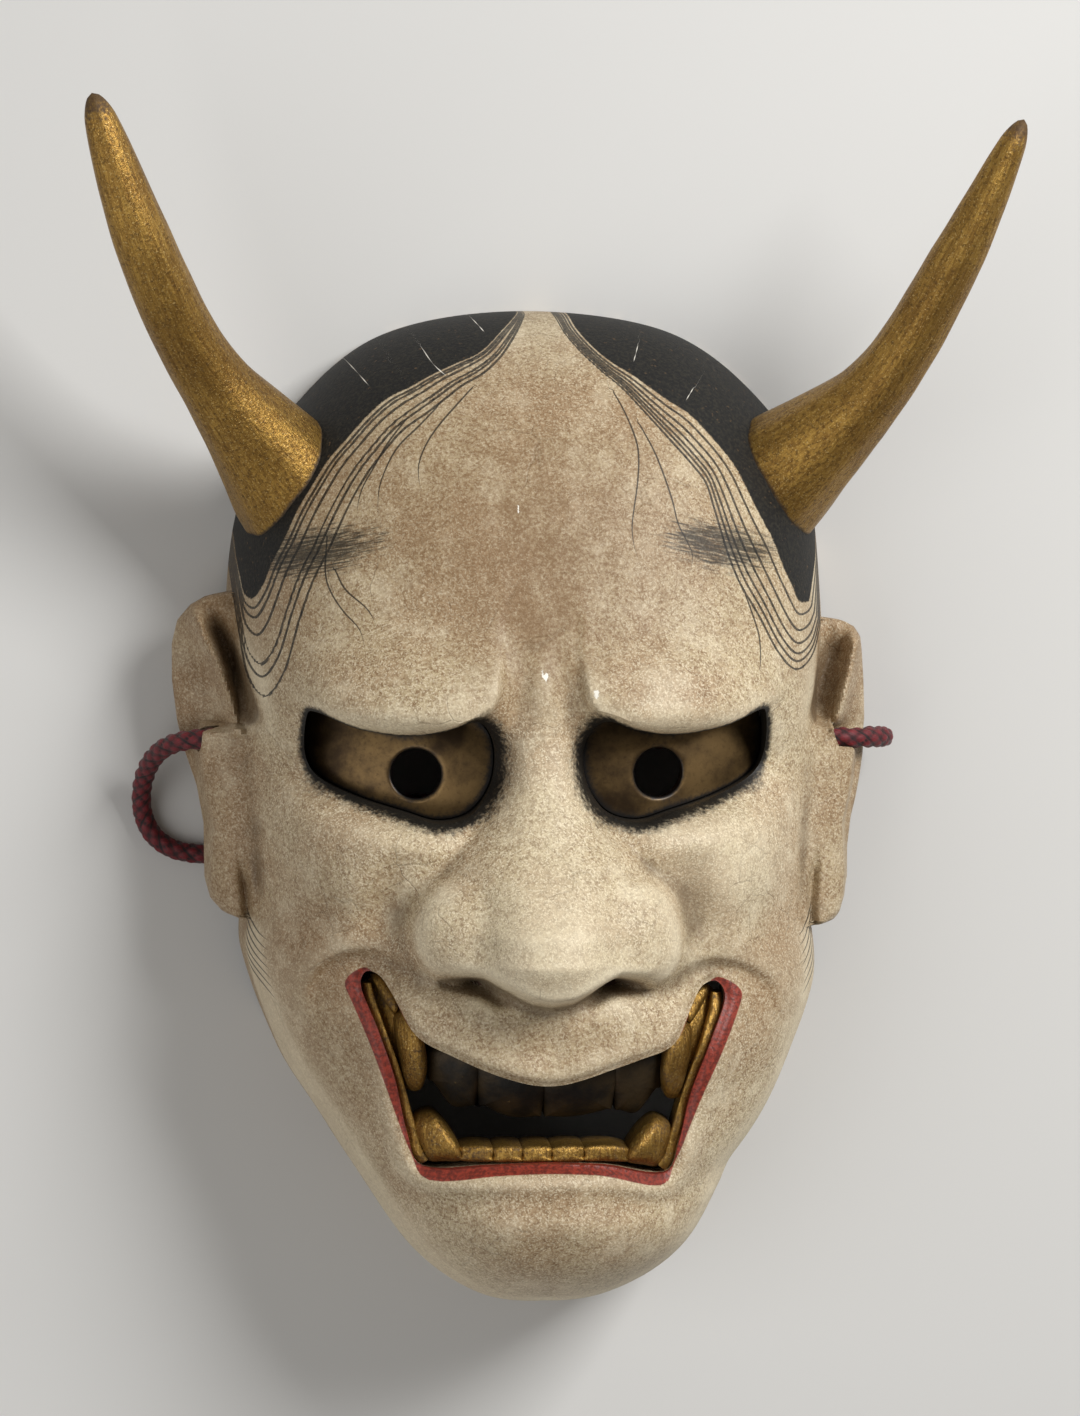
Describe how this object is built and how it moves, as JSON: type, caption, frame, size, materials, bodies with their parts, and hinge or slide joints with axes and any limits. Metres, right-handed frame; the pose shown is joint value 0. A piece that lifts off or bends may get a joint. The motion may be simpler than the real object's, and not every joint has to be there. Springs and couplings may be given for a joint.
{
  "type": "hannya mask",
  "caption": "Carved and painted wooden hannya mask with gilt horns, eyes and teeth and braided silk tie cords, lying face up.",
  "frame": {"origin": "on the surface the mask lies on, under the middle of its outline without the cords", "axes": "+Z out of the face, +Y from chin to horns, +X to the viewer's right"},
  "size_m": [0.1954, 0.258, 0.0915],
  "materials": {
    "painted_wood": "aged gesso and pigment over cypress, satin, worn and dirty in the recesses",
    "gilt": "worn gilding over dark ground, half gloss",
    "eye_metal": "gilt copper sheet gone brown, satin",
    "silk": "round crimson silk braid"
  },
  "bodies": {
    "root": {"mask_shell": "painted_wood", "teeth_upper": "gilt", "teeth_lower": "gilt", "eye_left": "eye_metal", "eye_right": "eye_metal", "horn_left": "gilt", "horn_right": "gilt", "cord_left": "silk", "cord_left_coil": "silk", "cord_left_knot": "silk", "cord_left_end": "silk", "cord_right": "silk", "cord_right_coil": "silk", "cord_right_knot": "silk", "cord_right_end": "silk"}
  },
  "joints": []
}
